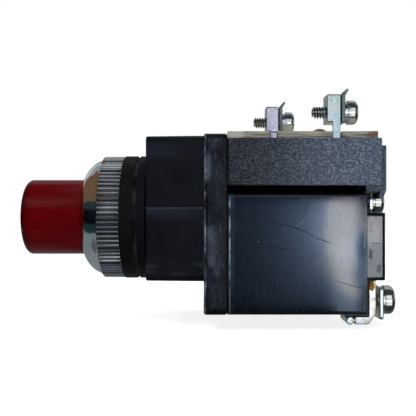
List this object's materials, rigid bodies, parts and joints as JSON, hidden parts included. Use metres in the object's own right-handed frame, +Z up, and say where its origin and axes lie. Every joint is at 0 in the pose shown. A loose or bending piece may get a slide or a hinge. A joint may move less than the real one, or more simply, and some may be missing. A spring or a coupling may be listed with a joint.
{
  "type": "pushbutton switch",
  "caption": "Illuminated panel pushbutton with a red lens, chrome bezel nut, black operator body, lamp transformer and screw-terminal contact block; the sprung button drives the contact.",
  "frame": {"origin": "on the operator axis, at the front face of the operator body, where the panel stack is clamped", "axes": "+X along the operator axis towards the rear, so the lens faces -X; +Z up, with the contact block on top of the transformer; the rear contact terminal is on the -Y side"},
  "size_m": [0.1142, 0.0446, 0.0705],
  "materials": {
    "black_moulding": "satin black moulding, lightly scuffed",
    "gloss_black": "glossy black moulding with hairline scratches",
    "grained_black": "leather-grained black moulding",
    "red_lens": "translucent dark red moulding, fluted inside",
    "chrome": "bright chrome plate",
    "black_rubber": "black rubber",
    "dark_moulding": "dark grey moulding",
    "cream_moulding": "cream moulding",
    "brown_moulding": "brown insulating moulding",
    "spring_steel": "bright spring wire",
    "zinc_plate": "bluish zinc plate",
    "tinned_brass": "tinned brass",
    "brass": "plain brass",
    "lamp_glass": "clear lamp glass",
    "core_steel": "stacked steel laminations",
    "copper": "enamelled copper wire",
    "red_insulation": "red lead insulation",
    "fibre_board": "grey-tan laminated fibre board"
  },
  "bodies": {
    "unit": {"operator_body": "black_moulding", "bezel_nut": "chrome", "panel_gasket": "black_rubber", "spacer_ring": "dark_moulding", "return_spring": "spring_steel", "lamp_holder": "brown_moulding", "lamp_socket": "brass", "lamp_contact": "brass", "lamp_cap": "brass", "lamp_glass": "lamp_glass", "adapter_plate": "black_moulding", "assembly_screws": "zinc_plate", "block_screws": "zinc_plate", "transformer_case": "gloss_black", "rear_cover": "gloss_black", "transformer_core": "core_steel", "coil_bobbin": "cream_moulding", "primary_winding": "copper", "secondary_winding": "copper", "lamp_leads": "red_insulation", "supply_leads": "red_insulation", "upper_terminal": "tinned_brass", "lower_terminal": "tinned_brass", "supply_screws": "zinc_plate", "supply_washers": "zinc_plate", "supply_lock_washers": "zinc_plate", "contact_housing": "grained_black", "fibre_cover": "fibre_board", "front_terminal": "tinned_brass", "rear_terminal": "tinned_brass", "terminal_screws": "zinc_plate", "terminal_clamps": "zinc_plate", "terminal_lock_washers": "zinc_plate", "plunger_spring": "spring_steel"},
    "button": {"lens": "red_lens", "button_sleeve": "dark_moulding", "sleeve_seal": "black_rubber", "push_rod": "cream_moulding"},
    "plunger": {"contact_plunger": "cream_moulding", "contact_bridge": "brass", "contact_spring": "spring_steel"}
  },
  "joints": [
    {"name": "button_press", "type": "slide", "parent": "unit", "child": "button", "axis": [1, 0, 0], "range_m": [0, 0.005], "stiffness_N_per_m": 800, "springref_m": -0.006, "deforming": ["return_spring"]},
    {"name": "plunger_slide", "type": "slide", "parent": "unit", "child": "plunger", "axis": [1, 0, 0], "range_m": [0, 0.005], "deforming": ["plunger_spring"]}
  ],
  "couplings": [
    {"joint": "plunger_slide", "follows": "button_press", "ratio": 1}
  ]
}
